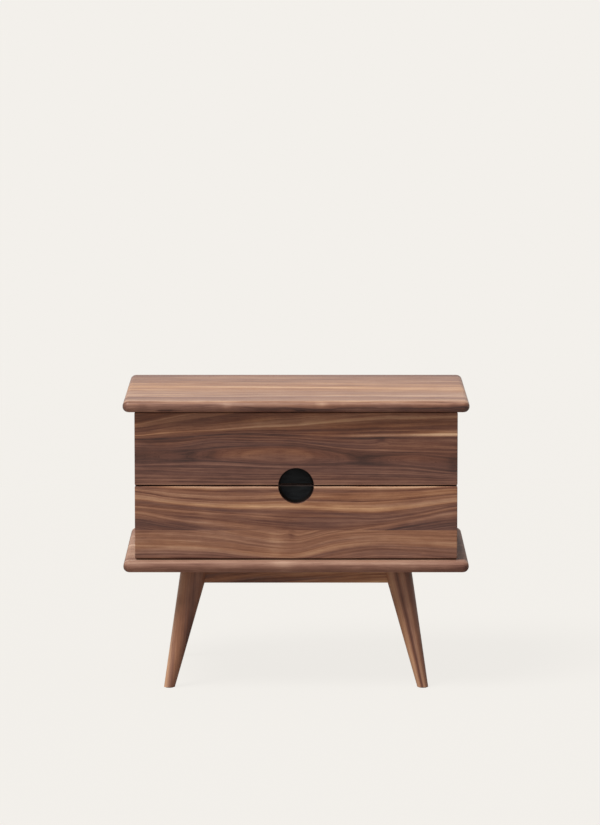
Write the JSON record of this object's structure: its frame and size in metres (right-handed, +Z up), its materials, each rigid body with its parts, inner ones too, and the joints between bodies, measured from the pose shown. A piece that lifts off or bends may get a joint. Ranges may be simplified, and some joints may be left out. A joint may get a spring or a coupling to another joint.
{
  "type": "nightstand",
  "caption": "Walnut nightstand: overhanging top and base panels with rounded edges, drawers with a shared round finger recess, splayed turned legs",
  "frame": {"origin": "on the floor under the middle of the top", "axes": "+X to the right seen from the front, +Y to the back, +Z up"},
  "size_m": [0.6, 0.4, 0.51],
  "materials": {
    "panel_walnut": "oiled walnut, edge-glued staves, satin",
    "case_walnut": "oiled walnut, satin",
    "front_walnut": "oiled walnut, edge-glued staves, satin",
    "leg_walnut": "turned oiled walnut, satin",
    "apron_walnut": "oiled walnut, satin",
    "block_wood": "plain sawn hardwood, matt",
    "stained_black_wood": "black stained hardwood, matt",
    "back_veneer": "walnut veneered board, matt",
    "drawer_box_wood": "pale hardwood, clear lacquer",
    "drawer_bottom_wood": "pale veneered board, clear lacquer",
    "dowel_wood": "plain beech dowel",
    "slide_steel": "zinc plated, dull",
    "ball_steel": "polished balls in plated strips",
    "screw_steel": "zinc plated",
    "glide_nylon": "dark brown nylon, matt",
    "bumper_rubber": "soft pale rubber"
  },
  "bodies": {
    "root": {"apron_front": "apron_walnut", "apron_left": "apron_walnut", "apron_rear": "apron_walnut", "apron_right": "apron_walnut", "back_panel": "back_veneer", "back_panel_screws": "screw_steel", "base_panel": "panel_walnut", "case_dowels": "dowel_wood", "corner_blocks": "block_wood", "divider_rail": "case_walnut", "foot_glides": "glide_nylon", "frame_screws": "screw_steel", "leg_front_left": "leg_walnut", "leg_front_right": "leg_walnut", "leg_rear_left": "leg_walnut", "leg_rear_right": "leg_walnut", "side_panel_left": "case_walnut", "side_panel_right": "case_walnut", "slide_rail_lower_left": "slide_steel", "slide_rail_lower_right": "slide_steel", "slide_rail_screws": "screw_steel", "slide_rail_upper_left": "slide_steel", "slide_rail_upper_right": "slide_steel", "top_panel": "panel_walnut"},
    "drawer_upper": {"box_back_upper": "drawer_box_wood", "box_bottom_upper": "drawer_bottom_wood", "box_front_upper": "drawer_box_wood", "bumpers_upper": "bumper_rubber", "drawer_front_upper": "front_walnut", "front_screws_upper": "screw_steel", "pull_upper": "stained_black_wood", "slide_screws_upper": "screw_steel", "slide_inner_upper_left": "slide_steel", "slide_inner_upper_right": "slide_steel", "box_side_upper_left": "drawer_box_wood", "box_side_upper_right": "drawer_box_wood"},
    "slide_mid_upper": {"slide_mid_upper_left": "slide_steel", "slide_mid_upper_right": "slide_steel"},
    "outer_balls_upper": {"outer_balls_upper": "ball_steel"},
    "inner_balls_upper": {"inner_balls_upper": "ball_steel"},
    "drawer_lower": {"box_back_lower": "drawer_box_wood", "box_bottom_lower": "drawer_bottom_wood", "box_front_lower": "drawer_box_wood", "bumpers_lower": "bumper_rubber", "drawer_front_lower": "front_walnut", "front_screws_lower": "screw_steel", "pull_lower": "stained_black_wood", "slide_screws_lower": "screw_steel", "slide_inner_lower_left": "slide_steel", "slide_inner_lower_right": "slide_steel", "box_side_lower_left": "drawer_box_wood", "box_side_lower_right": "drawer_box_wood"},
    "slide_mid_lower": {"slide_mid_lower_left": "slide_steel", "slide_mid_lower_right": "slide_steel"},
    "outer_balls_lower": {"outer_balls_lower": "ball_steel"},
    "inner_balls_lower": {"inner_balls_lower": "ball_steel"}
  },
  "joints": [
    {"name": "drawer_upper_slide", "type": "slide", "parent": "root", "child": "drawer_upper", "axis": [0, -1, 0], "range_m": [0, 0.29]},
    {"name": "slide_mid_upper_travel", "type": "slide", "parent": "root", "child": "slide_mid_upper", "axis": [0, -1, 0], "range_m": [0, 0.145]},
    {"name": "outer_balls_upper_travel", "type": "slide", "parent": "root", "child": "outer_balls_upper", "axis": [0, -1, 0], "range_m": [0, 0.0725]},
    {"name": "inner_balls_upper_travel", "type": "slide", "parent": "root", "child": "inner_balls_upper", "axis": [0, -1, 0], "range_m": [0, 0.2175]},
    {"name": "drawer_lower_slide", "type": "slide", "parent": "root", "child": "drawer_lower", "axis": [0, -1, 0], "range_m": [0, 0.29]},
    {"name": "slide_mid_lower_travel", "type": "slide", "parent": "root", "child": "slide_mid_lower", "axis": [0, -1, 0], "range_m": [0, 0.145]},
    {"name": "outer_balls_lower_travel", "type": "slide", "parent": "root", "child": "outer_balls_lower", "axis": [0, -1, 0], "range_m": [0, 0.0725]},
    {"name": "inner_balls_lower_travel", "type": "slide", "parent": "root", "child": "inner_balls_lower", "axis": [0, -1, 0], "range_m": [0, 0.2175]}
  ],
  "couplings": [
    {"joint": "slide_mid_upper_travel", "follows": "drawer_upper_slide", "ratio": 0.5},
    {"joint": "outer_balls_upper_travel", "follows": "drawer_upper_slide", "ratio": 0.25},
    {"joint": "inner_balls_upper_travel", "follows": "drawer_upper_slide", "ratio": 0.75},
    {"joint": "slide_mid_lower_travel", "follows": "drawer_lower_slide", "ratio": 0.5},
    {"joint": "outer_balls_lower_travel", "follows": "drawer_lower_slide", "ratio": 0.25},
    {"joint": "inner_balls_lower_travel", "follows": "drawer_lower_slide", "ratio": 0.75}
  ]
}
